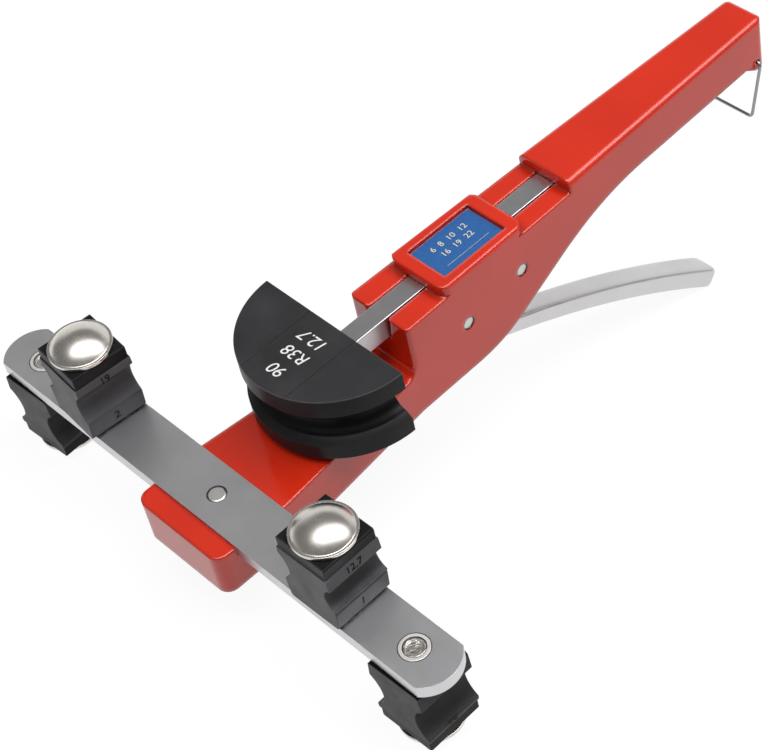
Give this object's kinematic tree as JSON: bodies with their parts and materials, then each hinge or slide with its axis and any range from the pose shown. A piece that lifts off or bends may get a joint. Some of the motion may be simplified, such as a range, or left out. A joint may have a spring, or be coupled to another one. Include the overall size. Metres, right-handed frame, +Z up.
{
  "type": "ratchet tube bender",
  "caption": "Hand tool that bends tube: a squeeze lever ratchets a toothed bar, which pushes a grooved half-round former between turning grooved blocks on a crossbar.",
  "frame": {"origin": "point on the bench midway between the contact points of the two lower domes", "axes": "+Z up from the bench that the tool stands on; +X along the crossbar, to the right of someone who looks from the crossbar towards the handle; +Y level, from the crossbar towards the handle"},
  "size_m": [0.2686, 0.3331, 0.1432],
  "materials": {
    "red_enamel": "gloss",
    "label_blue": "gloss",
    "crossbar_grey": "satin",
    "bright_steel": "satin",
    "polished_nickel": "polished",
    "black_nylon": "satin",
    "bar_steel": "satin",
    "spring_steel": "satin",
    "cast_aluminium": "satin",
    "pawl_steel": "satin",
    "dark_wire": "satin"
  },
  "bodies": {
    "frame": {"body_casting": "red_enamel", "label_plate": "label_blue", "crossbar": "crossbar_grey", "crossbar_screw": "bright_steel", "crossbar_washer": "bright_steel", "dome_pin_upper_left": "polished_nickel", "dome_pin_upper_right": "polished_nickel", "dome_pin_lower_left": "polished_nickel", "dome_pin_lower_right": "polished_nickel", "retaining_rings": "bright_steel", "lever_pin": "bright_steel", "holding_pawl_pin": "bright_steel", "lever_spring": "spring_steel", "holding_pawl_spring": "spring_steel"},
    "bar": {"ratchet_bar": "bar_steel", "former": "black_nylon", "detent_ball": "bright_steel", "detent_spring": "spring_steel", "bar_stop_pin": "bright_steel"},
    "lever": {"lever": "cast_aluminium", "drive_pawl_pin": "bright_steel", "drive_pawl_spring": "spring_steel"},
    "drive_pawl": {"drive_pawl": "pawl_steel"},
    "holding_pawl": {"holding_pawl": "pawl_steel"},
    "block_upper_left": {"block_upper_left": "black_nylon"},
    "block_upper_right": {"block_upper_right": "black_nylon"},
    "block_lower_left": {"block_lower_left": "black_nylon"},
    "block_lower_right": {"block_lower_right": "black_nylon"},
    "bail": {"bail": "dark_wire"}
  },
  "joints": [
    {"name": "bar_slide", "type": "slide", "parent": "frame", "child": "bar", "axis": [0, -0.9795, -0.2013], "range_m": [-0.02, 0.055]},
    {"name": "lever_pivot", "type": "hinge", "parent": "frame", "child": "lever", "pos_m": [0, 0.11645, 0.07708], "axis": [1, 0, 0], "range_deg": [0, 26], "stiffness_Nm_per_rad": 1.2, "springref_deg": -34.38, "deforming": ["lever_spring"]},
    {"name": "drive_pawl_pivot", "type": "hinge", "parent": "lever", "child": "drive_pawl", "pos_m": [0, 0.12093, 0.08362], "axis": [1, 0, 0], "range_deg": [-13, 0], "deforming": ["drive_pawl_spring"]},
    {"name": "holding_pawl_pivot", "type": "hinge", "parent": "frame", "child": "holding_pawl", "pos_m": [0, 0.14775, 0.0877], "axis": [1, 0, 0], "range_deg": [0, 15], "stiffness_Nm_per_rad": 0.02, "springref_deg": -22.92, "deforming": ["holding_pawl_spring"]},
    {"name": "block_upper_left_turn", "type": "hinge", "parent": "frame", "child": "block_upper_left", "pos_m": [-0.074, -0.00676, 0.04921], "axis": [0, -0.2013, 0.9795], "continuous": true},
    {"name": "block_upper_right_turn", "type": "hinge", "parent": "frame", "child": "block_upper_right", "pos_m": [0.074, -0.00676, 0.04921], "axis": [0, -0.2013, 0.9795], "continuous": true},
    {"name": "block_lower_left_turn", "type": "hinge", "parent": "frame", "child": "block_lower_left", "pos_m": [-0.1146, -0.00556, 0.04333], "axis": [0, -0.2013, 0.9795], "continuous": true},
    {"name": "block_lower_right_turn", "type": "hinge", "parent": "frame", "child": "block_lower_right", "pos_m": [0.1146, -0.00556, 0.04333], "axis": [0, -0.2013, 0.9795], "continuous": true},
    {"name": "bail_swing", "type": "hinge", "parent": "frame", "child": "bail", "pos_m": [0, 0.29838, 0.12028], "axis": [1, 0, 0], "range_deg": [-45, 150]}
  ],
  "couplings": [
    {"joint": "drive_pawl_pivot", "follows": "lever_pivot", "ratio": -0.5}
  ]
}
